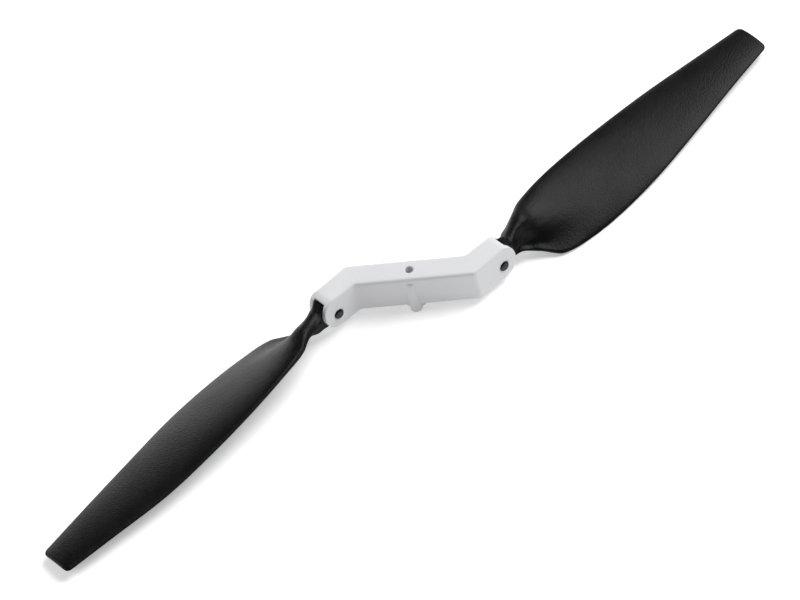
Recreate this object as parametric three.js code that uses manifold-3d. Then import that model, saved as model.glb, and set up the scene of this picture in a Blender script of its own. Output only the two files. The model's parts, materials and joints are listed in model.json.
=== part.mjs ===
// A small folding propeller for a radio-controlled motor glider.
// Two twisted blades hinge on pins in the forked ends of a Z-shaped hub yoke.
// Frame: millimetres, +Z points forward along the motor shaft, and the shaft axis is X = Y = 0.
// The rear face of the shaft boss lies at Z = 0, and the hinge pins run along Y.
import * as THREE from "three";
import { mergeVertices } from "three/addons/utils/BufferGeometryUtils.js";
import Module from "manifold-3d";

const { degToRad } = THREE.MathUtils;

// Hub yoke.
const HUB_TOP = 6.3;
const HUB_HEIGHT = 5.2;
const HUB_WIDTH = 3.9;
const ARM_END_WIDTH = 3.56;
const WALL = 0.75;
const TOP_PLATE = 0.8;
const TOP_EDGE_RADIUS = 0.45;
const BAR_HALF_LENGTH = 8.6;
const BAR_ANGLE = degToRad(45);
const ARM_TO_HINGE = 4.4;
const TOP_PLATE_PAST_HINGE = 1.4;
const CAP_START = 0.3;
const CAP_LENGTH = 2.05;

// Shaft boss and the rib on each side wall.
const SHAFT_BORE_RADIUS = 0.6;
const BOSS_RADIUS = 1.7;
const RIB_TOP_RADIUS = 0.62;
const RIB_FOOT_RADIUS = 0.9;
const RIB_TOP = 5.5;
const RIB_CENTRE_OUT = 1.62;

// Hinges.
const HINGE_Z = 3.2;
const PIN_RADIUS = 0.75;
const PIN_HALF_LENGTH = 2.1;
const EAR_BORE_RADIUS = 0.77;
const TANG_BORE_RADIUS = 0.81;
const TANG_THICKNESS = 1.9;
const TANG_RADIUS = 2.15;
const TANG_SHOULDER = new THREE.Vector2(1.55, 2.5);
const TANG_SPAN = 2.6;
const KEEL_DEPTH = 1.66;

// Blades.
const BLADE_REACH = 54.7;
const BLADE_DROOP = degToRad(1.7);
const TIP_CORNER = 0.8;
const SECTION_POINTS = 24;
const SECTION_SQUARENESS = 2.5;
const SPAN_STEPS = 40;
const TIP_STEPS = 4;

// Blade sections, from the hinge outwards.
// span = distance from the hinge, turn = angle between the chord and the propeller disc in degrees,
// sweep and rise = the middle of the chord, towards the leading edge and forward along the shaft.
// The middle line of a section arches forward by arch, and bend curls it into an S: next to the hub
// its front edge leaves the top of the tang, and its rear edge leaves the bottom.
// The rear half is dished in by dip.
const BLADE_STATIONS = [
  { span: 1.9, chord: 3.8, turn: 88, sweep: 0.1, rise: 0.45, thick: 1.66, arch: 0.1, bend: 0, dip: 0 },
  { span: 2.5, chord: 3.75, turn: 80, sweep: 0.3, rise: 0.3, thick: 1.63, arch: 0.4, bend: 0.2, dip: 0 },
  { span: 3, chord: 3.7, turn: 68, sweep: 0.6, rise: 0.2, thick: 1.55, arch: 0.7, bend: 0.4, dip: 0 },
  { span: 3.6, chord: 3.8, turn: 56, sweep: 0.7, rise: 0.18, thick: 1.5, arch: 0.6, bend: 0.5, dip: 0 },
  { span: 4.5, chord: 4.3, turn: 47, sweep: 0.75, rise: 0.17, thick: 1.4, arch: 0.45, bend: 0.6, dip: 0.05 },
  { span: 5.5, chord: 5.4, turn: 43, sweep: 0.7, rise: 0.1, thick: 1.35, arch: 0.38, bend: 0.65, dip: 0.12 },
  { span: 6.7, chord: 7.1, turn: 35, sweep: 0.38, rise: 0.05, thick: 1.3, arch: 0.35, bend: 0.65, dip: 0.2 },
  { span: 8.6, chord: 10, turn: 26.5, sweep: -0.1, rise: -0.35, thick: 1.25, arch: 0.35, bend: 0.4, dip: 0.3 },
  { span: 13.3, chord: 11.8, turn: 22.3, sweep: 0, rise: -0.45, thick: 1.2, arch: 0.4, bend: 0.05, dip: 0.1 },
  { span: 19.5, chord: 12.5, turn: 17.8, sweep: 0.4, rise: -0.5, thick: 1.1, arch: 0.43, bend: 0, dip: 0 },
  { span: 27.5, chord: 12.1, turn: 13, sweep: 1.1, rise: -0.5, thick: 1, arch: 0.42, bend: 0, dip: 0 },
  { span: 37, chord: 10.4, turn: 8.7, sweep: 2.1, rise: -0.45, thick: 0.9, arch: 0.36, bend: 0, dip: 0 },
  { span: 47, chord: 7.7, turn: 6, sweep: 2.8, rise: -0.15, thick: 0.8, arch: 0.27, bend: 0, dip: 0 },
  { span: BLADE_REACH, chord: 5.7, turn: 4.5, sweep: 3.3, rise: 0, thick: 0.7, arch: 0.2, bend: 0, dip: 0 },
];

const bendX = BAR_HALF_LENGTH * Math.cos(BAR_ANGLE);
const bendY = -BAR_HALF_LENGTH * Math.sin(BAR_ANGLE);
const hingeX = bendX + ARM_TO_HINGE;
const earEnd = hingeX + CAP_START + CAP_LENGTH;

const wasm = await Module();
wasm.setup();

// Turns a closed three.js geometry into a solid for joins and cuts.
function solid(geometry) {
  const bare = geometry.clone();
  bare.deleteAttribute("normal");
  bare.deleteAttribute("uv");
  const merged = mergeVertices(bare, 1e-4);
  const mesh = new wasm.Mesh({
    numProp: 3,
    vertProperties: merged.attributes.position.array,
    triVerts: new Uint32Array(merged.index.array),
  });
  return new wasm.Manifold(mesh);
}

// Turns a solid back into a three.js geometry.
function geometryOf(body) {
  const mesh = body.getMesh();
  const geometry = new THREE.BufferGeometry();
  geometry.setAttribute("position", new THREE.BufferAttribute(mesh.vertProperties, 3));
  geometry.setIndex(new THREE.BufferAttribute(mesh.triVerts, 1));
  geometry.computeVertexNormals();
  return geometry;
}

// A plan outline raised along Z from bottom to top.
function raised(shape, bottom, top, curveSegments = 12) {
  const settings = { depth: top - bottom, bevelEnabled: false, curveSegments };
  return new THREE.ExtrudeGeometry(shape, settings).translate(0, 0, bottom);
}

// Round bars and bores, along Z and along Y at the height of the hinges.
function rod(radius, from, to, sides = 32) {
  return new THREE.CylinderGeometry(radius, radius, to - from, sides)
    .rotateX(Math.PI / 2)
    .translate(0, 0, (from + to) / 2);
}
function rodAlongY(radius, halfLength, x, y) {
  return new THREE.CylinderGeometry(radius, radius, 2 * halfLength, 32).translate(x, y, HINGE_Z);
}

// The Z-shaped plan of the yoke, drawn inset from the outer face, with its arms up to endX.
// A positive inset gives the plan of the channel between the walls.
function yokePlan(inset, endX) {
  const barHalf = HUB_WIDTH / 2 - inset;
  const taper = (ARM_END_WIDTH - HUB_WIDTH) / 2 / (earEnd - bendX);
  const sideways = new THREE.Vector2(Math.sin(BAR_ANGLE), Math.cos(BAR_ANGLE));
  const along = new THREE.Vector2(Math.cos(BAR_ANGLE), -Math.sin(BAR_ANGLE));
  // Where the bar's side meets the arm's side: +1 is the side towards +Y, -1 towards -Y.
  const corner = (side) => {
    const start = sideways.clone().multiplyScalar(side * barHalf);
    const slope = side * taper;
    const target = bendY + side * barHalf + slope * (start.x - bendX);
    const run = (target - start.y) / (along.y - slope * along.x);
    return start.addScaledVector(along, run);
  };
  const armEnd = (side) =>
    new THREE.Vector2(endX, bendY + side * (barHalf + taper * (endX - bendX)));
  const half = [corner(-1), armEnd(-1), armEnd(1), corner(1)];
  const otherHalf = half.map((point) => point.clone().negate());
  return new THREE.Shape([...half, ...otherHalf]);
}

function makeHub() {
  const bottom = HUB_TOP - HUB_HEIGHT;

  // The outer form: the plan with rounded top edges, kept inside a side view with rounded ends.
  const plan = new THREE.ExtrudeGeometry(yokePlan(0, earEnd + 1), {
    depth: HUB_HEIGHT + 1,
    bevelThickness: TOP_EDGE_RADIUS,
    bevelSize: TOP_EDGE_RADIUS,
    bevelOffset: -TOP_EDGE_RADIUS,
    bevelSegments: 3,
  }).translate(0, 0, HUB_TOP - TOP_EDGE_RADIUS - HUB_HEIGHT - 1);
  const middle = (HUB_TOP + bottom) / 2;
  const sideView = new THREE.Shape();
  const capX = hingeX + CAP_START;
  const halfHeight = HUB_HEIGHT / 2;
  sideView.absellipse(capX, middle, CAP_LENGTH, halfHeight, -Math.PI / 2, Math.PI / 2);
  sideView.absellipse(-capX, middle, CAP_LENGTH, halfHeight, Math.PI / 2, (3 * Math.PI) / 2);
  const side = raised(sideView, -12, 12, 24).rotateX(Math.PI / 2);

  // The channel that the walls stand round, open underneath and at both ends.
  const channel = raised(yokePlan(WALL, earEnd + 2), bottom - 1, HUB_TOP - TOP_PLATE);

  // The notch that ends the top plate just past each hinge.
  const notchStart = hingeX + TOP_PLATE_PAST_HINGE;
  const notchWidth = ARM_END_WIDTH - 2 * WALL;
  const notch = new THREE.BoxGeometry(4, notchWidth, HUB_HEIGHT);
  const rightNotch = notch.clone().translate(notchStart + 2, bendY, HUB_TOP);
  const leftNotch = notch.clone().translate(-notchStart - 2, -bendY, HUB_TOP);

  // The boss round the shaft and a tapered rib with a domed top on each side wall.
  const boss = rod(BOSS_RADIUS, 0, HUB_TOP - TOP_PLATE / 2);
  const ribProfile = new THREE.Path();
  ribProfile.moveTo(0, 0);
  ribProfile.lineTo(RIB_FOOT_RADIUS, 0);
  ribProfile.lineTo(RIB_TOP_RADIUS, RIB_TOP - RIB_TOP_RADIUS);
  ribProfile.absarc(0, RIB_TOP - RIB_TOP_RADIUS, RIB_TOP_RADIUS, 0, Math.PI / 2, false);
  const rib = new THREE.LatheGeometry(ribProfile.getPoints(6), 20).rotateX(Math.PI / 2);
  const ribX = RIB_CENTRE_OUT * Math.sin(BAR_ANGLE);
  const ribY = RIB_CENTRE_OUT * Math.cos(BAR_ANGLE);

  let body = solid(plan).intersect(solid(side));
  body = body.subtract(solid(channel));
  body = body.subtract(solid(rightNotch)).subtract(solid(leftNotch));
  body = body.add(solid(boss));
  body = body.add(solid(rib.clone().translate(ribX, ribY, 0)));
  body = body.add(solid(rib.clone().translate(-ribX, -ribY, 0)));
  body = body.subtract(solid(rod(SHAFT_BORE_RADIUS, -1, HUB_TOP + 1)));
  body = body.subtract(solid(rodAlongY(EAR_BORE_RADIUS, 3, hingeX, bendY)));
  body = body.subtract(solid(rodAlongY(EAR_BORE_RADIUS, 3, -hingeX, -bendY)));
  return geometryOf(body);
}

// The blade sections as one smooth law: the station's values after span, in order, at any span.
const stationSpans = BLADE_STATIONS.map((s) => s.span);
const stationValues = BLADE_STATIONS.flatMap((s) => Object.values(s).slice(1));
const bladeLaw = new THREE.CubicInterpolant(stationSpans, stationValues, 8, new Float32Array(8));

// The span of a share t of the steps: the steps are closest at the root and round the tip corners.
function spanAt(t) {
  const rootSpan = BLADE_STATIONS[0].span;
  const cornerStart = BLADE_REACH - TIP_CORNER;
  const tipShare = TIP_STEPS / SPAN_STEPS;
  if (t <= 1 - tipShare) return rootSpan + (cornerStart - rootSpan) * (t / (1 - tipShare)) ** 1.4;
  const roundTheCorner = (t - 1 + tipShare) / tipShare;
  return cornerStart + TIP_CORNER * Math.sin((roundTheCorner * Math.PI) / 2);
}

// The lofted part of a blade about its own hinge: the hinge axis is Y and the blade runs along +X.
function bladeLoft() {
  // One section of unit size, blunt at its edges and thickest ahead of the middle.
  const blunt = (value) => Math.sign(value) * Math.abs(value) ** (2 / SECTION_SQUARENESS);
  const section = new THREE.Shape();
  for (let i = 0; i < SECTION_POINTS; i++) {
    const angle = (i / SECTION_POINTS) * 2 * Math.PI;
    const across = 0.5 * blunt(Math.cos(angle));
    const up = 0.5 * blunt(Math.sin(angle)) * (1 + 0.3 * across);
    if (i === 0) section.moveTo(across, up);
    else section.lineTo(across, up);
  }
  const settings = { depth: 1, steps: SPAN_STEPS, bevelEnabled: false };
  const loft = new THREE.ExtrudeGeometry(section, settings);

  // Each point of the straight bar moves to its place on the twisted, tapered blade.
  const position = loft.attributes.position;
  for (let i = 0; i < position.count; i++) {
    const span = spanAt(position.getZ(i));
    const [chord, turn, sweep, rise, thick, arch, bend, dip] = bladeLaw.evaluate(span);
    const pastCorner = Math.max(0, span - BLADE_REACH + TIP_CORNER);
    const cornerCut = TIP_CORNER - Math.sqrt(Math.max(0, TIP_CORNER ** 2 - pastCorner ** 2));
    const across = position.getX(i) * (chord - 2 * cornerCut);
    const share = position.getX(i);
    const wave = Math.sin(2 * Math.PI * share);
    const middle = arch * (1 - (2 * share) ** 2) + bend * wave - dip * Math.min(wave, 0) ** 2;
    const up = position.getY(i) * thick + middle;
    const angle = degToRad(turn);
    const y = sweep + across * Math.cos(angle) - up * Math.sin(angle);
    const z = rise + across * Math.sin(angle) + up * Math.cos(angle);
    position.setXYZ(i, span, y, z);
  }
  return loft;
}

// A whole blade: the loft, and the flat tang that turns on the pin between the ears.
function makeBlade() {
  // The tang is round at its inner end, so that it can turn under the top plate.
  // Its shoulder rises into the notch and meets the end of the plate, which stops the extended blade.
  const tang = new THREE.Shape();
  tang.moveTo(TANG_SHOULDER.x, TANG_SHOULDER.y);
  tang.lineTo(1.45, 2.2);
  tang.lineTo(0, TANG_RADIUS);
  tang.absarc(0, 0, TANG_RADIUS, Math.PI / 2, (5 * Math.PI) / 3, false);
  tang.lineTo(TANG_SPAN, -KEEL_DEPTH);
  tang.lineTo(TANG_SPAN, 2.25);
  const plate = raised(tang, -TANG_THICKNESS / 2, TANG_THICKNESS / 2, 24).rotateX(Math.PI / 2);

  // Under its front edge the tang runs on as a keel, which fades out where the blade widens.
  const keelSide = new THREE.Shape();
  keelSide.moveTo(2, 0);
  keelSide.lineTo(2, -KEEL_DEPTH);
  keelSide.lineTo(3.5, -KEEL_DEPTH);
  keelSide.lineTo(4.2, -1.38);
  keelSide.lineTo(5.6, -0.5);
  keelSide.lineTo(6, 0);
  const keel = raised(keelSide, -0.93, 0.3).rotateX(Math.PI / 2);

  // The rear corner of the shoulder slants away from the ear, in line with the twist of the blade.
  const slantPlan = new THREE.Shape();
  slantPlan.moveTo(1.5, -1.1);
  slantPlan.lineTo(3, -1.1);
  slantPlan.lineTo(3, -0.25);
  slantPlan.lineTo(1.5, -0.95);
  const slant = raised(slantPlan, 1, 3);
  const bore = new THREE.CylinderGeometry(TANG_BORE_RADIUS, TANG_BORE_RADIUS, 4, 32);
  const tangBody = solid(plate).subtract(solid(slant)).add(solid(keel));
  return geometryOf(solid(bladeLoft()).add(tangBody).subtract(solid(bore)));
}

function plastic(color, roughness) {
  return new THREE.MeshStandardMaterial({ color, roughness, metalness: 0 });
}

function named(name, geometry, material) {
  const mesh = new THREE.Mesh(geometry, material);
  mesh.name = name;
  return mesh;
}

const propeller = new THREE.Group();
propeller.add(named("hub_yoke", makeHub(), plastic(0xe4e5ea, 0.45)));

// Each half is a group at its hinge; the second is the first turned half round the shaft.
for (const [side, turned] of [["a", 0], ["b", Math.PI]]) {
  const half = new THREE.Group();
  half.rotation.z = turned;
  const hinge = new THREE.Group();
  hinge.position.set(hingeX, bendY, HINGE_Z);
  const pinGeometry = new THREE.CylinderGeometry(PIN_RADIUS, PIN_RADIUS, 2 * PIN_HALF_LENGTH, 32);
  const steel = new THREE.MeshStandardMaterial({ color: 0x2b2b2e, roughness: 0.35, metalness: 0.9 });
  // A blade that isn't spinning droops on its pin until its trailing edge rests level with the boss.
  const blade = named(`blade_${side}`, makeBlade(), plastic(0x1c1c1e, 0.55));
  blade.rotation.y = BLADE_DROOP;
  hinge.add(blade);
  hinge.add(named(`hinge_pin_${side}`, pinGeometry, steel));
  half.add(hinge);
  propeller.add(half);
}

export default propeller;
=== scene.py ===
# %% [markdown]
# # A small folding propeller
# This propeller pulls a palm-sized motor glider through the air. When the motor stops, the wind folds
# its two blades back along the fuselage, so each blade hangs on a pin in a forked end of the hub.
#
# A packed design model already fixes every size and every hinge. We load it first and measure it, and
# then build finer pieces in exactly the same places. Nothing in the design model is moved.

import json
import math

import bmesh
import bpy
import numpy as np
from mathutils import Matrix, Vector


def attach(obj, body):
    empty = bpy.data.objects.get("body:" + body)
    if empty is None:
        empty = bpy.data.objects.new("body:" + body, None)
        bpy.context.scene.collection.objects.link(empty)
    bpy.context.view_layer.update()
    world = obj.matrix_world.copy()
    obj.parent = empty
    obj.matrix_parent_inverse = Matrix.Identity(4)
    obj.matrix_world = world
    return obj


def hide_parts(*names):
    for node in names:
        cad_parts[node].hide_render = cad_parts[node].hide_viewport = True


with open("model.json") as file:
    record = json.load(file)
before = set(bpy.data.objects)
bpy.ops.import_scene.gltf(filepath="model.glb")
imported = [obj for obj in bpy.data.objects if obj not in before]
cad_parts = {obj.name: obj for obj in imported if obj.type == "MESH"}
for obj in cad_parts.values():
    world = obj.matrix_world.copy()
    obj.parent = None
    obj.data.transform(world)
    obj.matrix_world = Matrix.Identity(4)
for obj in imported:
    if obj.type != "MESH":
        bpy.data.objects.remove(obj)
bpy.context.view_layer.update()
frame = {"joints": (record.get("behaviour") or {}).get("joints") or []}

# %% [markdown]
# ## Working in millimetres
# The whole hub is as long as a thumbnail is wide. Some of Blender's tools have a smallest size they
# can work at, and a tenth of a millimetre is below it. One way round this is to model a giant propeller
# in which one unit is a millimetre, and to shrink each finished mesh a thousand times. We could also
# scale the object and leave the mesh large, but then every texture size would have to be scaled too.

# %% A finished piece
MM = 0.001


def piece_from(mesh_tools, name):
    """Turns a bmesh in millimetres into an object in the scene."""
    mesh = bpy.data.meshes.new(name)
    mesh_tools.to_mesh(mesh)
    mesh_tools.free()
    piece = bpy.data.objects.new(name, mesh)
    bpy.context.scene.collection.objects.link(piece)
    return piece


def settle(piece):
    """Replaces the piece's mesh by what its modifiers make of it."""
    bpy.context.view_layer.update()
    seen = piece.evaluated_get(bpy.context.evaluated_depsgraph_get())
    mesh = bpy.data.meshes.new_from_object(seen)
    piece.modifiers.clear()
    old = piece.data
    piece.data = mesh
    bpy.data.meshes.remove(old)
    return piece


def shrink_to_metres(piece, crease_angle):
    """Scales the mesh to metres, and shades it smooth except at creases sharper than the angle."""
    piece.data.transform(Matrix.Scale(MM, 4))
    piece.data.shade_smooth()
    piece.data.set_sharp_from_angle(angle=math.radians(crease_angle))
    print(piece.name, "has", len(piece.data.polygons), "faces")
    return piece


# %% [markdown]
# ## Solid forms to cut and join
# A moulded hub like this one is drawn by a toolmaker as simple solids, joined to and cut from each
# other. Blender's Boolean modifier does the same. We only need two kinds of form: a flat outline raised
# into a prism, and a profile turned round an axis like a piece on a lathe.

# %% Prisms, turned forms and cuts
ROUND_SIDES = 64


def prism(outline, low, high, name="prism"):
    """An outline of (x, y) points, raised along Z from low to high."""
    form = bmesh.new()
    floor = [form.verts.new((x, y, low)) for x, y in outline]
    roof = [form.verts.new((x, y, high)) for x, y in outline]
    form.faces.new(floor[::-1])
    form.faces.new(roof)
    for i in range(len(outline)):
        j = (i + 1) % len(outline)
        form.faces.new((floor[i], floor[j], roof[j], roof[i]))
    bmesh.ops.recalc_face_normals(form, faces=form.faces)
    return piece_from(form, name)


def turned(profile, name="turned"):
    """A profile of (radius, height) points turned round Z. It starts and ends on the axis."""
    form = bmesh.new()
    rings = []
    for radius, height in profile:
        if radius < 1e-6:
            rings.append([form.verts.new((0, 0, height))])
            continue
        angles = [2 * math.pi * i / ROUND_SIDES for i in range(ROUND_SIDES)]
        ring = [form.verts.new((radius * math.cos(a), radius * math.sin(a), height)) for a in angles]
        rings.append(ring)
    for lower, upper in zip(rings, rings[1:]):
        for i in range(ROUND_SIDES):
            j = (i + 1) % ROUND_SIDES
            corners = [lower[i % len(lower)], lower[j % len(lower)]]
            corners += [upper[j % len(upper)], upper[i % len(upper)]]
            unique = list(dict.fromkeys(corners))
            if len(unique) > 2:
                form.faces.new(unique)
    bmesh.ops.recalc_face_normals(form, faces=form.faces)
    return piece_from(form, name)


def moved(piece, x=0, y=0, z=0, about_x=0):
    """Turns the mesh about the X axis and then shifts it."""
    turn = Matrix.Rotation(math.radians(about_x), 4, "X")
    piece.data.transform(Matrix.Translation((x, y, z)) @ turn)
    return piece


def carve(body, tool, way):
    """Joins the tool to the body, cuts it away, or keeps only what they share."""
    step = body.modifiers.new("carve", "BOOLEAN")
    step.operation = way
    step.solver = "EXACT"
    step.object = tool
    settle(body)
    bpy.data.objects.remove(tool)
    return body


def rod(radius, low, high):
    """A plain cylinder along Z."""
    return turned([(0, low), (radius, low), (radius, high), (0, high)], "rod")


# %% [markdown]
# ## The plan of the hub
# Seen from the front, the hub is a flat Z: a slanting bar through the shaft, and an arm at each end
# that runs out to its hinge. The bend puts each hinge beside the shaft, so that the folded blades lie
# along the two sides of the fuselage. The arms narrow a little towards their ends.
#
# We work out one half and turn it half round the shaft to get the other. The same function drawn with
# an inset gives the channel inside the walls, so the walls keep one thickness all the way.

# %% Sizes of the hub, in millimetres
HUB_TOP = 6.3
HUB_BOTTOM = 1.1
HUB_WIDTH = 3.9
ARM_END_WIDTH = 3.56
WALL = 0.75
TOP_PLATE = 0.8
TOP_EDGE_RADIUS = 0.45
BEND_EDGE_RADIUS = 0.35
BAR_HALF_LENGTH = 8.6
BAR_ANGLE = math.radians(45)
ARM_TO_HINGE = 4.4
HINGE_Z = 3.2
CAP_START = 0.3
CAP_LENGTH = 2.05
BEND_X = BAR_HALF_LENGTH * math.cos(BAR_ANGLE)
BEND_Y = -BAR_HALF_LENGTH * math.sin(BAR_ANGLE)
HINGE_X = BEND_X + ARM_TO_HINGE
EAR_END = HINGE_X + CAP_START + CAP_LENGTH

joint = frame["joints"][0]
print("the design model's hinge:", [round(c / MM, 3) for c in joint["pos_m"]])
print("ours:", round(HINGE_X, 3), round(BEND_Y, 3), HINGE_Z)


def yoke_plan(inset, end_x):
    """The Z-shaped outline of the hub, drawn inside its outer face by the inset."""
    half_width = HUB_WIDTH / 2 - inset
    taper = (ARM_END_WIDTH - HUB_WIDTH) / 2 / (EAR_END - BEND_X)
    sideways = Vector((math.sin(BAR_ANGLE), math.cos(BAR_ANGLE)))
    along = Vector((math.cos(BAR_ANGLE), -math.sin(BAR_ANGLE)))

    def corner(side):
        start = sideways * side * half_width
        slope = side * taper
        target = BEND_Y + side * half_width + slope * (start.x - BEND_X)
        return start + along * ((target - start.y) / (along.y - slope * along.x))

    def arm_end(side):
        return Vector((end_x, BEND_Y + side * (half_width + taper * (end_x - BEND_X))))

    half = [corner(-1), arm_end(-1), arm_end(1), corner(1)]
    return [tuple(p) for p in half] + [tuple(-p) for p in half]


# %% [markdown]
# ## The outer form of the hub
# The top edges are the softest edges of the part: the mould has a generous radius there. The bmesh
# bevel gives them that radius while the form is still a plain prism, because bevels are most reliable
# before any cuts. A second prism, drawn from the side with rounded ends, then trims the ends of the
# arms into round ears.

# %% The outer form


def bevelled_block():
    """The whole hub as a solid block, too long at both ends, with its soft edges."""
    block = prism(yoke_plan(0, EAR_END + 1), HUB_BOTTOM - 1, HUB_TOP, "hub_shell")
    form = bmesh.new()
    form.from_mesh(block.data)
    upright = [e for e in form.edges if abs(e.verts[0].co.z - e.verts[1].co.z) > 1]
    at_bends = [e for e in upright if abs(e.verts[0].co.x) < HINGE_X]
    bmesh.ops.bevel(
        form, geom=at_bends, offset=BEND_EDGE_RADIUS, segments=4, profile=0.5, affect="EDGES"
    )
    top_edges = [e for e in form.edges if all(v.co.z > HUB_TOP - 0.01 for v in e.verts)]
    bmesh.ops.bevel(
        form, geom=top_edges, offset=TOP_EDGE_RADIUS, segments=6, profile=0.5, affect="EDGES"
    )
    form.to_mesh(block.data)
    form.free()
    return block


def round_ended_side():
    """The side view of the hub, as a prism along Y."""
    middle, half_height = (HUB_TOP + HUB_BOTTOM) / 2, (HUB_TOP - HUB_BOTTOM) / 2
    outline = []
    for side in (1, -1):
        for i in range(49):
            angle = -math.pi / 2 + math.pi * i / 48
            x = HINGE_X + CAP_START + CAP_LENGTH * math.cos(angle)
            outline.append((side * x, middle + side * half_height * math.sin(angle)))
    # The prism stands along Z, and tips over so that its outline faces along Y.
    return moved(prism(outline, -12, 12), about_x=90)


hub = carve(bevelled_block(), round_ended_side(), "INTERSECT")
print("outer form:", len(hub.data.polygons), "faces")

# %% [markdown]
# ## Walls, forks, boss and ribs
# The hub is a channel, open underneath, because thin even walls cool without sink marks. At each end
# the top plate stops just past the hinge, which leaves two ears with a slot for the blade. A boss in
# the middle grips the motor shaft, and a half-round rib stands on each side wall next to it.

# %% Hollow out the hub and add its details
TOP_PLATE_PAST_HINGE = 1.4
SHAFT_BORE_RADIUS = 0.6
BOSS_RADIUS = 1.7
RIB_TOP_RADIUS = 0.62
RIB_FOOT_RADIUS = 0.9
RIB_TOP = 5.5
RIB_CENTRE_OUT = 1.62
EAR_BORE_RADIUS = 0.77


def end_notch(side):
    """The slot that ends the top plate just past a hinge."""
    start, half = HINGE_X + TOP_PLATE_PAST_HINGE, ARM_END_WIDTH / 2 - WALL
    corners = [(start, -half), (start + 4, -half), (start + 4, half), (start, half)]
    outline = [(side * x, side * (BEND_Y + y)) for x, y in corners]
    return prism(outline, HUB_TOP - 2.5, HUB_TOP + 2)


def rib(side):
    """A tapered round rib with a domed top, half sunk in the side wall."""
    centre = RIB_TOP - RIB_TOP_RADIUS
    steps = [math.pi / 2 * i / 10 for i in range(11)]
    dome = [(RIB_TOP_RADIUS * math.cos(a), centre + RIB_TOP_RADIUS * math.sin(a)) for a in steps]
    profile = [(0, 0), (RIB_FOOT_RADIUS, 0), *dome[:-1], (0, RIB_TOP)]
    x, y = RIB_CENTRE_OUT * math.sin(BAR_ANGLE), RIB_CENTRE_OUT * math.cos(BAR_ANGLE)
    return moved(turned(profile), side * x, side * y)


def ear_bore(side):
    """The cutter for the pin's hole through both ears of a fork."""
    cutter = moved(rod(EAR_BORE_RADIUS, -3, 3), about_x=90)
    return moved(cutter, side * HINGE_X, side * BEND_Y, HINGE_Z)


carve(hub, prism(yoke_plan(WALL, EAR_END + 2), HUB_BOTTOM - 2, HUB_TOP - TOP_PLATE), "DIFFERENCE")
for side in (1, -1):
    carve(hub, end_notch(side), "DIFFERENCE")
carve(hub, rod(BOSS_RADIUS, 0, HUB_TOP - TOP_PLATE / 2), "UNION")
for side in (1, -1):
    carve(hub, rib(side), "UNION")
carve(hub, rod(SHAFT_BORE_RADIUS, -1, HUB_TOP + 1), "DIFFERENCE")
for side in (1, -1):
    carve(hub, ear_bore(side), "DIFFERENCE")
print("cut hub:", len(hub.data.polygons), "faces")

# %% [markdown]
# ## Softening every edge
# No edge of a moulded part is perfectly sharp, and it is the soft edges that catch the light. The Bevel
# modifier could round them, but it trips over the small faces that cuts leave behind. Here we rebuild
# the whole skin instead: the Remesh modifier covers the form with tiny even squares, the Smooth
# modifier lets the corners relax, and Decimate thins the flat areas out again. Inside corners get
# their little fillets the same way, as they have in a real mould.

# %% Rebuild and soften the skin of the hub
HUB_SQUARE = 0.08


def soften(piece, square, rounds, keep):
    """Rebuilds the skin from small squares, relaxes it, and keeps only a share of its faces."""
    skin = piece.modifiers.new("skin", "REMESH")
    skin.mode = "VOXEL"
    skin.voxel_size = square
    settle(piece)
    print(piece.name, "skin:", len(piece.data.polygons), "faces")
    relax = piece.modifiers.new("relax", "SMOOTH")
    relax.factor = 0.5
    relax.iterations = rounds
    thin = piece.modifiers.new("thin", "DECIMATE")
    thin.ratio = keep
    settle(piece)
    return piece


soften(hub, HUB_SQUARE, rounds=4, keep=0.3)
shrink_to_metres(hub, crease_angle=60)
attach(hub, "hub")
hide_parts("hub_yoke")

# %% [markdown]
# ## The shape of a blade, as a law
# A propeller blade is a wing that turns as it goes out. Close to the shaft the air meets it steeply,
# and at the tip nearly flat, so the section twists. Designers write this down as a table of stations:
# at each distance from the hinge, the chord, its angle, where its middle lies and how thick it is.
#
# We join the stations by smooth cubic curves. Each curve passes through its station with the slope
# between its two neighbours, which is what Blender's own curve editor does with automatic handles.

# %% Blade stations and the law between them
BLADE_REACH = 54.7
STATIONS = {
    "span": [1.9, 2.5, 3, 3.6, 4.5, 5.5, 6.7, 8.6, 13.3, 19.5, 27.5, 37, 47, BLADE_REACH],
    "chord": [3.8, 3.75, 3.7, 3.8, 4.3, 5.4, 7.1, 10, 11.8, 12.47, 12.08, 10.4, 7.7, 5.7],
    "turn": [88, 80, 68, 56, 47, 43, 35, 26.5, 22.3, 17.8, 13, 8.7, 6, 4.5],
    "sweep": [0.1, 0.3, 0.6, 0.7, 0.75, 0.7, 0.38, -0.1, 0, 0.4, 1.1, 2.1, 2.8, 3.3],
    "rise": [0.45, 0.3, 0.2, 0.18, 0.17, 0.1, 0.05, -0.35, -0.45, -0.5, -0.5, -0.45, -0.15, 0],
    "thick": [1.66, 1.63, 1.55, 1.5, 1.4, 1.35, 1.3, 1.25, 1.2, 1.1, 1, 0.9, 0.8, 0.7],
    "arch": [0.1, 0.4, 0.7, 0.6, 0.45, 0.38, 0.35, 0.35, 0.4, 0.43, 0.42, 0.36, 0.27, 0.2],
    "bend": [0, 0.2, 0.4, 0.5, 0.6, 0.65, 0.65, 0.4, 0.05, 0, 0, 0, 0, 0],
    "dip": [0, 0, 0, 0, 0.05, 0.12, 0.2, 0.3, 0.1, 0, 0, 0, 0, 0],
    "square": [7, 7, 7, 6.5, 6, 5, 4.2, 3.4, 2.8, 2.8, 2.8, 2.8, 2.8, 2.8],
}


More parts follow.
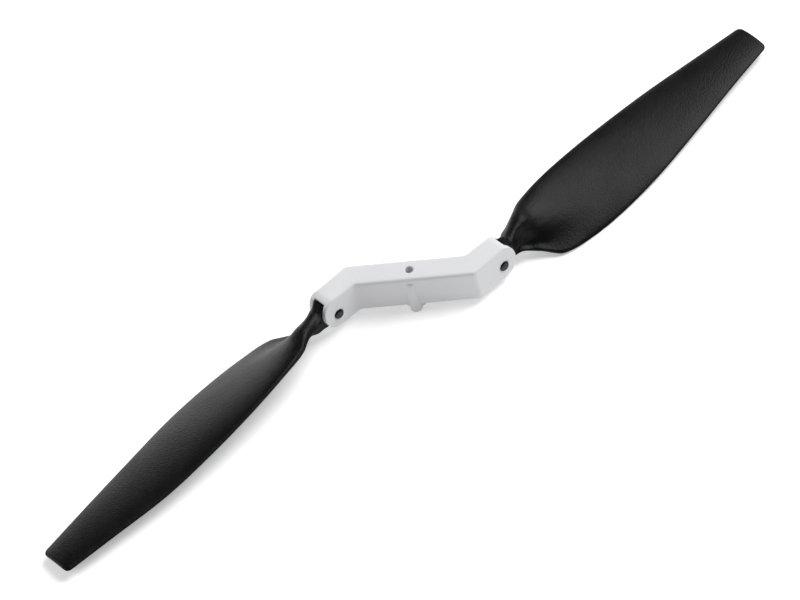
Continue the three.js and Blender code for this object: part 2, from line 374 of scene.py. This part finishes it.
def law(name, span):
    """The value of one column at a distance from the hinge."""
    x, y = np.array(STATIONS["span"], float), np.array(STATIONS[name], float)
    slope = np.empty(len(x))
    slope[1:-1] = (y[2:] - y[:-2]) / (x[2:] - x[:-2])
    slope[0] = 1.5 * (y[1] - y[0]) / (x[1] - x[0]) - 0.5 * slope[1]
    slope[-1] = 1.5 * (y[-1] - y[-2]) / (x[-1] - x[-2]) - 0.5 * slope[-2]
    i = int(np.clip(np.searchsorted(x, span) - 1, 0, len(x) - 2))
    gap = x[i + 1] - x[i]
    t = (span - x[i]) / gap
    start = (1 + 2 * t) * (1 - t) ** 2 * y[i] + t * (1 - t) ** 2 * gap * slope[i]
    end = t * t * (3 - 2 * t) * y[i + 1] + t * t * (t - 1) * gap * slope[i + 1]
    return start + end


for span in (3, 10, 30, 54):
    print(f"{span} mm out: chord {law('chord', span):.1f} mm, turned {law('turn', span):.0f} degrees")

# %% [markdown]
# ## One section of the blade
# The section is a thin flattened oval, fullest ahead of its middle and arched a little, with blunt
# edges that a mould can fill. Next to the hub it does something else: the front edge grows out of the
# top of the flat tang and the rear edge out of its bottom, so the section curls into a slanting S.
# A sine wave across the chord gives that S, and the column called bend fades it out along the blade.
# The column called dip deepens the rear half of the wave, where the plastic dishes in behind the tang.
# The column called square keeps the edges flat near the tang and lets them grow round further out.

# %% A section and the place of its points
SECTION_POINTS = 72
TIP_CORNER = 0.8
TIP_ROUNDING = 0.3


def unit_section(square):
    """A flattened oval one unit across. The squarer it is, the flatter its edges."""
    points = []
    for i in range(SECTION_POINTS):
        angle = 2 * math.pi * i / SECTION_POINTS
        c, s = math.cos(angle), math.sin(angle)
        across = 0.5 * math.copysign(abs(c) ** (2 / square), c)
        up = 0.5 * math.copysign(abs(s) ** (2 / square), s)
        points.append((across, up * (1 + 0.3 * across)))
    return points


def blade_ring(span):
    """The section's points at one distance from the hinge, in the blade's own frame."""
    chord, turn, thick = law("chord", span), math.radians(law("turn", span)), law("thick", span)
    corner = max(0, span - BLADE_REACH + TIP_CORNER)
    chord -= 2 * (TIP_CORNER - math.sqrt(TIP_CORNER**2 - min(corner, TIP_CORNER) ** 2))
    end = min(max(0, span - BLADE_REACH + TIP_ROUNDING) / TIP_ROUNDING, 1)
    thick *= 0.12 + 0.88 * math.sqrt(1 - end**2)
    arch, bend, dip = law("arch", span), law("bend", span), law("dip", span)
    ring = []
    for across, up in unit_section(law("square", span)):
        wave = math.sin(2 * math.pi * across)
        lift = arch * (1 - 4 * across**2) + bend * wave - dip * min(wave, 0) ** 2 + up * thick
        y = law("sweep", span) + across * chord * math.cos(turn) - lift * math.sin(turn)
        z = law("rise", span) + across * chord * math.sin(turn) + lift * math.cos(turn)
        ring.append((span, y, z))
    return ring


for span in (3, 10, 30):
    ring = blade_ring(span)
    height = max(z for _, _, z in ring) - min(z for _, _, z in ring)
    print(f"{span} mm out: {len(ring)} points, {height:.1f} mm from its lowest to its highest")

# %% [markdown]
# ## Lofting the blade
# A loft joins the rings with strips of four-sided faces. The rings stand close together where the shape
# changes fast, at the root and round the tip, and further apart along the calm middle.
#
# The flat tang is a prism that overlaps the inner end of the loft. A second, thinner prism is the keel:
# the lower half of the tang runs on under the front edge, which stiffens the neck, and fades out. Boolean
# unions make one skin of the three, and the same softening as on the hub melts the joins into fillets.

# %% The lofted blade with its tang
TANG_THICKNESS = 1.9
TANG_RADIUS = 2.15
TANG_SPAN = 2.6
TANG_TOP = 2.25
TANG_SHOULDER = (1.55, 2.5)
TANG_NECK = (1.45, 2.2)
TANG_BORE_RADIUS = 0.81
KEEL_DEPTH = 1.66
KEEL_FRONT = 0.93
KEEL_REAR = -0.3
BLADE_SQUARE = 0.1


def ring_spans():
    """Where the rings stand along the blade."""
    root = np.linspace(1.9, 9, 72)
    middle = np.linspace(9, BLADE_REACH - TIP_CORNER, 90)[1:]
    quarter = np.linspace(0, math.pi / 2, 13)[1:]
    tip = BLADE_REACH - TIP_CORNER + TIP_CORNER * np.sin(quarter)
    return [*root, *middle, *tip]


def lofted_blade(name):
    """The rings joined into a closed skin, from inside the tang out to the tip."""
    form = bmesh.new()
    rings = [[form.verts.new(p) for p in blade_ring(s)] for s in ring_spans()]
    for inner, outer in zip(rings, rings[1:]):
        for i in range(SECTION_POINTS):
            j = (i + 1) % SECTION_POINTS
            form.faces.new((inner[i], inner[j], outer[j], outer[i]))
    form.faces.new(rings[0][::-1])
    form.faces.new(rings[-1])
    bmesh.ops.recalc_face_normals(form, faces=form.faces)
    return piece_from(form, name)


def tang():
    """A flat plate round the pin, with a shoulder that rises into the notch of the hub."""
    arc = [math.pi / 2 + math.radians(210) * i / 60 for i in range(61)]
    outline = [TANG_SHOULDER, TANG_NECK]
    outline += [(TANG_RADIUS * math.cos(a), TANG_RADIUS * math.sin(a)) for a in arc]
    outline += [(TANG_SPAN, -KEEL_DEPTH), (TANG_SPAN, TANG_TOP)]
    half = TANG_THICKNESS / 2
    plate = moved(prism(outline, -half, half, "tang"), about_x=90)
    # The rear corner of the shoulder is cut off at a slant.
    slant = prism([(1.5, -1.1), (3, -1.1), (3, -0.25), (1.5, -0.95)], 1, 3)
    return carve(plate, slant, "DIFFERENCE")


def keel():
    """The tang's lower part, which runs on under the front edge and fades out."""
    side = [(2, 0), (2, -KEEL_DEPTH), (3.5, -KEEL_DEPTH), (4.2, -1.38), (5.6, -0.5), (6, 0)]
    # Tipping the prism over turns its low end to the front, so the signs change.
    return moved(prism(side, -KEEL_FRONT, -KEEL_REAR, "keel"), about_x=90)


def whole_blade(name):
    """Blade, tang and keel in one softened skin, with the bore for the pin."""
    blade = carve(lofted_blade(name), tang(), "UNION")
    blade = carve(blade, keel(), "UNION")
    carve(blade, moved(rod(TANG_BORE_RADIUS, -2, 2), about_x=90), "DIFFERENCE")
    return soften(blade, BLADE_SQUARE, rounds=6, keep=0.25)


# %% [markdown]
# ## Hanging the blades on their pins
# At rest each blade droops until its lowest point is level with the rear face of the boss, so the
# propeller lies flat on a table. The second blade is the first one turned half round the shaft, and
# not its mirror image: a propeller works only if both blades twist the same way round.

# %% Both blades in place
BLADE_DROOP = math.radians(1.7)
blades = []
for side, half_turn in (("a", 0), ("b", math.pi)):
    blade = whole_blade("blade_skin_" + side)
    place = Matrix.Rotation(half_turn, 4, "Z")
    place = place @ Matrix.Translation((HINGE_X, BEND_Y, HINGE_Z))
    blade.data.transform(place @ Matrix.Rotation(BLADE_DROOP, 4, "Y"))
    shrink_to_metres(blade, crease_angle=38)
    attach(blade, "folding_blade_" + side)
    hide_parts("blade_" + side)
    blades.append(blade)

# %% [markdown]
# ## The hinge pins
# Each pin is a short cut of steel wire, pressed through both ears, and its ends stand a little proud of
# them. Wire cutters and a file leave a small bevel and a faint dome on each end. A turned profile gives
# both, with no modifier needed.

# %% The pins
PIN_RADIUS = 0.75
PIN_HALF_LENGTH = 2.1
EDGE = 0.14


def pin_profile():
    """Half of the pin from its middle to its domed end, mirrored to give the other half."""
    dome = [(PIN_RADIUS - EDGE) * (1 - i / 8) for i in range(9)]
    rise = [0.06 * (1 - (r / PIN_RADIUS) ** 2) for r in dome]
    half = [(PIN_RADIUS, PIN_HALF_LENGTH - EDGE - 0.05)]
    half += [(r, PIN_HALF_LENGTH - 0.06 + h) for r, h in zip(dome, rise)]
    return [(r, -h) for r, h in reversed(half)] + half


pins = []
for side, sign in (("a", 1), ("b", -1)):
    pin = moved(turned(pin_profile(), name="pin_" + side), about_x=90)
    moved(pin, sign * HINGE_X, sign * BEND_Y, HINGE_Z)
    shrink_to_metres(pin, crease_angle=40)
    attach(pin, "hub")
    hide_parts("hinge_pin_" + side)
    pins.append(pin)

# %% [markdown]
# ## Helpers for the finishes
# Every finish here is made of nodes, so it has detail at any distance and needs no picture files. All
# of them read the object's own coordinates, in metres, so a texture's scale says how many of its cells
# fit in a metre: at scale 3000 a grain of plastic is about a third of a millimetre.

# %% A small node helper


class Finish:
    """A material that is built up node by node."""

    def __init__(self, name, colour, roughness, metallic=0.0):
        self.material = bpy.data.materials.new(name)
        self.material.use_nodes = True
        self.nodes = self.material.node_tree.nodes
        self.links = self.material.node_tree.links
        self.shader = self.nodes["Principled BSDF"]
        self.shader.inputs["Base Color"].default_value = (*colour, 1)
        self.shader.inputs["Roughness"].default_value = roughness
        self.shader.inputs["Metallic"].default_value = metallic
        self.where = self.nodes.new("ShaderNodeTexCoord").outputs["Object"]

    def noise(self, scale, detail=2.0, roughness=0.5):
        """Soft random patches. The scale says how many of them fit in a metre."""
        node = self.nodes.new("ShaderNodeTexNoise")
        node.inputs["Scale"].default_value = scale
        node.inputs["Detail"].default_value = detail
        node.inputs["Roughness"].default_value = roughness
        self.links.new(self.where, node.inputs["Vector"])
        return node.outputs["Fac"]

    def remap(self, value, low, high, to_low, to_high):
        """Stretches one range of values onto another."""
        node = self.nodes.new("ShaderNodeMapRange")
        for socket, number in zip(node.inputs[1:5], (low, high, to_low, to_high)):
            socket.default_value = number
        self.links.new(value, node.inputs["Value"])
        return node.outputs["Result"]

    def blend(self, factor, first, second):
        """Colour first where the factor is 0, second where it is 1."""
        node = self.nodes.new("ShaderNodeMix")
        node.data_type = "RGBA"
        colours = [s for s in node.inputs if s.type == "RGBA"]
        for socket, value in zip(colours, (first, second)):
            if isinstance(value, tuple):
                socket.default_value = (*value, 1)
            else:
                self.links.new(value, socket)
        self.links.new(factor, node.inputs["Factor"])
        return [s for s in node.outputs if s.type == "RGBA"][0]

    def bump(self, height, strength, distance):
        """Makes the light fall as if the texture stood that distance high, in metres."""
        node = self.nodes.new("ShaderNodeBump")
        node.inputs["Strength"].default_value = strength
        node.inputs["Distance"].default_value = distance
        self.links.new(height, node.inputs["Height"])
        return node.outputs["Normal"]

    def plug(self, value, socket):
        """Joins a value to a socket of the shader."""
        self.links.new(value, self.shader.inputs[socket])

    def paint(self, pieces):
        """Gives the pieces this finish and no other."""
        for piece in pieces:
            piece.data.materials.clear()
            piece.data.materials.append(self.material)
        print(self.material.name, "is made of", len(self.nodes), "nodes")


# %% [markdown]
# ## Black moulded plastic
# The blades are nearly black nylon. The mould is spark-eroded, which gives the skin a fine pebbled
# grain. It is the grain that makes the plastic look matt: each pebble still has a shine, but they all
# point different ways. Two textures make it. A fine one raises the pebbles, and a slow one changes the
# tone and the roughness a little, like the slightly polished places where fingers hold the blade.

# %% The blade finish
black = Finish("blade_plastic", (0.004, 0.004, 0.0043), 0.38)
pebbles = black.noise(4200, 2, 0.5)
patches = black.noise(260, 2)
black.plug(black.remap(patches, 0.3, 0.7, 0.3, 0.38), "Roughness")
black.plug(black.blend(patches, (0.003, 0.003, 0.0032), (0.0045, 0.0045, 0.0048)), "Base Color")
black.shader.inputs["Specular IOR Level"].default_value = 0.12
black.plug(black.bump(pebbles, 1.0, 0.00006), "Normal")
black.paint(blades)

# %% [markdown]
# ## White moulded plastic
# The hub is a satin off-white. New plastic is very even, so the finish needs only a soft orange peel in
# the surface and a faint change of tone. Assembly leaves a few small scuffs, so we let the very top of
# a fine texture through as tiny darker marks.

# %% The hub finish
white = Finish("hub_plastic", (0.71, 0.712, 0.725), 0.42)
tone = white.noise(180, 2)
marks = white.remap(white.noise(2600, 4, 0.7), 0.68, 0.73, 0, 0.8)
even = white.blend(tone, (0.7, 0.702, 0.715), (0.72, 0.722, 0.735))
white.plug(white.blend(marks, even, (0.45, 0.45, 0.45)), "Base Color")
white.plug(white.remap(tone, 0.3, 0.7, 0.38, 0.48), "Roughness")
white.plug(white.bump(white.noise(900, 2), 0.12, 0.00008), "Normal")
white.paint([hub])

# %% [markdown]
# ## Dark steel
# The pins are oil-blackened steel wire. A noise makes their tone and roughness change a little from
# place to place, and the ends pick up small bright spots from the lights.

# %% The pin finish
steel = Finish("pin_steel", (0.03, 0.03, 0.032), 0.25, 1.0)
worn = steel.noise(1500, 3)
steel.plug(steel.blend(worn, (0.015, 0.015, 0.017), (0.06, 0.06, 0.063)), "Base Color")
steel.plug(steel.remap(worn, 0.3, 0.7, 0.18, 0.32), "Roughness")
steel.paint(pins)

# %% [markdown]
# ## A glowing table
# Small parts like this are shown on a white table that glows a little from below, under big soft lights,
# so that almost no shadow is left. The glow also fills the side walls of the hub from underneath.

# %% The table
bpy.ops.mesh.primitive_plane_add(size=3, location=(0, 0, -0.00002))
table = bpy.context.object
table.name = "table_top"
paper = Finish("table_white", (0.93, 0.93, 0.93), 0.9)
paper.plug(paper.blend(paper.noise(40, 2), (0.92, 0.92, 0.92), (0.94, 0.94, 0.94)), "Base Color")
paper.shader.inputs["Emission Color"].default_value = (1, 1, 1, 1)
paper.shader.inputs["Emission Strength"].default_value = 0.38
paper.paint([table])

# %% [markdown]
# ## Four soft lights
# The faint glow of the world fills every corner. A wide softbox overhead and to the right lights the
# tops; black plastic shows it as a broad sheen. A low lamp behind on the left picks out the ribs, and a
# backdrop low behind is what the far blade mirrors at a flat angle. Nothing shines from the camera's
# side, so surfaces that face the camera stay deep black.

# %% The lights
world = bpy.data.worlds.new("studio")
bpy.context.scene.world = world
world.use_nodes = True
glow = world.node_tree.nodes["Background"]
glow.inputs["Color"].default_value = (1, 1, 1, 1)
glow.inputs["Strength"].default_value = 0.13


def soft_light(name, place, size, power):
    """A round lamp, size metres across, that shines at the middle of the hub."""
    lamp = bpy.data.lights.new(name, "AREA")
    lamp.shape = "DISK"
    lamp.size = size
    lamp.energy = power
    holder = bpy.data.objects.new(name, lamp)
    bpy.context.scene.collection.objects.link(holder)
    holder.location = place
    holder.rotation_euler = (-Vector(place)).to_track_quat("-Z", "Y").to_euler()
    print(name, "lamp stands", round(Vector(place).length, 2), "m away")


soft_light("overhead", (0.5, -0.08, 0.63), 0.7, 7.3)
soft_light("key", (-0.42, 0.42, 0.32), 0.4, 1.6)
soft_light("backdrop", (0.3, 0.9, 0.12), 0.6, 2.8)

# %% [markdown]
# ## The camera
# A long lens from well back keeps the two blades the same size in the picture. The camera looks down
# at the propeller from the front left and is tilted, so that the blades run from corner to corner.

# %% The camera
AZIMUTH, ELEVATION, TILT = (math.radians(a) for a in (-29.848, 46.688, -16.324))
DISTANCE = 0.62913
LENS_LENGTH = 202.24
AIM = Vector((-0.004678, -0.003277, 0.0063))
back = Vector((
    math.sin(AZIMUTH) * math.cos(ELEVATION),
    -math.cos(AZIMUTH) * math.cos(ELEVATION),
    math.sin(ELEVATION),
))
level = Vector((math.cos(AZIMUTH), math.sin(AZIMUTH), 0))
upward = back.cross(level)
right = level * math.cos(TILT) + upward * math.sin(TILT)
up = upward * math.cos(TILT) - level * math.sin(TILT)
lens = bpy.data.cameras.new("camera")
lens.lens = LENS_LENGTH
lens.sensor_width = 36
lens.clip_start = 0.01
camera = bpy.data.objects.new("camera", lens)
bpy.context.scene.collection.objects.link(camera)
turn = Matrix((right, up, back)).transposed().to_4x4()
camera.matrix_world = Matrix.Translation(AIM + back * DISTANCE) @ turn
bpy.context.scene.camera = camera
bpy.context.scene.view_settings.view_transform = "Standard"
print("the camera looks down at", round(math.degrees(ELEVATION)), "degrees")
